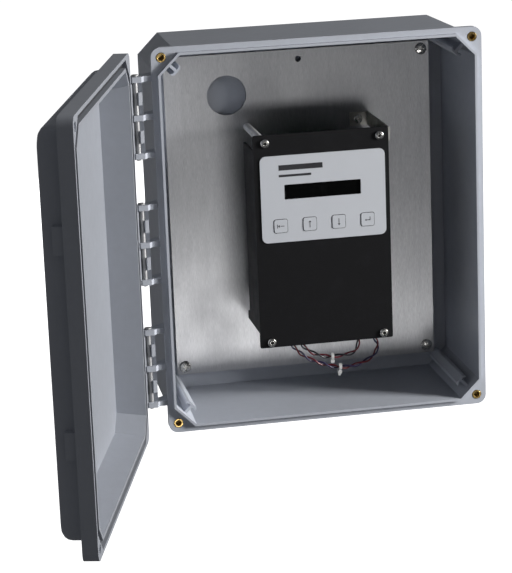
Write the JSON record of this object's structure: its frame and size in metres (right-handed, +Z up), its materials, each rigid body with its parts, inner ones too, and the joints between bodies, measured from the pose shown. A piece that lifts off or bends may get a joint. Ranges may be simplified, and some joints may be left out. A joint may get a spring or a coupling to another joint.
{
  "type": "hinged wall enclosure with display unit",
  "caption": "Grey moulded wall enclosure with a hinged door, a brushed metal back plate and a black display and keypad unit wired inside.",
  "frame": {"origin": "centre of the flat back face, where the case meets the wall", "axes": "+X right, +Y into the wall, +Z up; the open front faces -Y and the door hinges on the -X side"},
  "size_m": [0.4011, 0.3831, 0.332],
  "materials": {
    "case_plastic": "satin moulded light grey",
    "gasket_rubber": "matte dark grey",
    "insert_brass": "turned",
    "plate_metal": "brushed",
    "bracket_aluminium": "bent strip, mill finish",
    "screw_steel": "bright",
    "cover_black": "fine black powder coat",
    "label_film": "pale printed film",
    "switch_plastic": "black moulded",
    "key_plastic": "pale film over a key",
    "lens_dark": "dark clear window",
    "module_frame": "black steel frame",
    "board_green": "solder mask",
    "terminal_plastic": "moulded green",
    "nylon_white": "natural nylon",
    "wire_red": "thin insulated wire",
    "wire_black": "thin insulated wire",
    "wire_violet": "thin insulated wire"
  },
  "bodies": {
    "case": {"back_plate": "plate_metal", "board_spacer_bottom_left": "nylon_white", "board_spacer_bottom_right": "nylon_white", "board_spacer_top_left": "nylon_white", "board_spacer_top_right": "nylon_white", "bracket_screw": "screw_steel", "cable_tie_inner": "nylon_white", "cable_tie_outer": "nylon_white", "controller_board": "board_green", "cover_bracket": "bracket_aluminium", "cover_screw_bottom_left": "screw_steel", "cover_screw_bottom_right": "screw_steel", "cover_screw_top_left": "screw_steel", "cover_screw_top_right": "screw_steel", "cover_standoff_bottom_left": "screw_steel", "cover_standoff_bottom_right": "screw_steel", "cover_standoff_top_left": "screw_steel", "display_cover": "cover_black", "display_lens": "lens_dark", "display_module": "module_frame", "enclosure_base": "case_plastic", "hinge_pin_bottom": "screw_steel", "hinge_pin_middle": "screw_steel", "hinge_pin_top": "screw_steel", "insert_bottom_left": "insert_brass", "insert_bottom_right": "insert_brass", "insert_top_left": "insert_brass", "insert_top_right": "insert_brass", "key_switch_down": "switch_plastic", "key_switch_enter": "switch_plastic", "key_switch_escape": "switch_plastic", "key_switch_up": "switch_plastic", "keypad_label": "label_film", "plate_screw_bottom_left": "screw_steel", "plate_screw_bottom_right": "screw_steel", "plate_screw_top_left": "screw_steel", "plate_screw_top_right": "screw_steel", "standoff_screw_bottom_left": "screw_steel", "standoff_screw_bottom_right": "screw_steel", "standoff_screw_top_left": "screw_steel", "terminal_block_left": "terminal_plastic", "terminal_block_right": "terminal_plastic", "wire_inner_black": "wire_black", "wire_inner_red": "wire_red", "wire_outer_red": "wire_red", "wire_outer_violet": "wire_violet"},
    "door_leaf": {"door": "case_plastic", "door_gasket": "gasket_rubber", "door_screw_top": "screw_steel", "door_screw_bottom": "screw_steel"},
    "button_escape": {"key_escape": "key_plastic"},
    "button_up": {"key_up": "key_plastic"},
    "button_down": {"key_down": "key_plastic"},
    "button_enter": {"key_enter": "key_plastic"}
  },
  "joints": [
    {"name": "door_swing", "type": "hinge", "parent": "case", "child": "door_leaf", "pos_m": [-0.1543, -0.1, 0], "axis": [0, 0, 1], "range_deg": [-74.1, 105.9]},
    {"name": "press_escape", "type": "slide", "parent": "case", "child": "button_escape", "axis": [0, 1, 0], "range_m": [0, 0.0004], "stiffness_N_per_m": 1500, "springref_m": -0.0003},
    {"name": "press_up", "type": "slide", "parent": "case", "child": "button_up", "axis": [0, 1, 0], "range_m": [0, 0.0004], "stiffness_N_per_m": 1500, "springref_m": -0.0003},
    {"name": "press_down", "type": "slide", "parent": "case", "child": "button_down", "axis": [0, 1, 0], "range_m": [0, 0.0004], "stiffness_N_per_m": 1500, "springref_m": -0.0003},
    {"name": "press_enter", "type": "slide", "parent": "case", "child": "button_enter", "axis": [0, 1, 0], "range_m": [0, 0.0004], "stiffness_N_per_m": 1500, "springref_m": -0.0003}
  ]
}
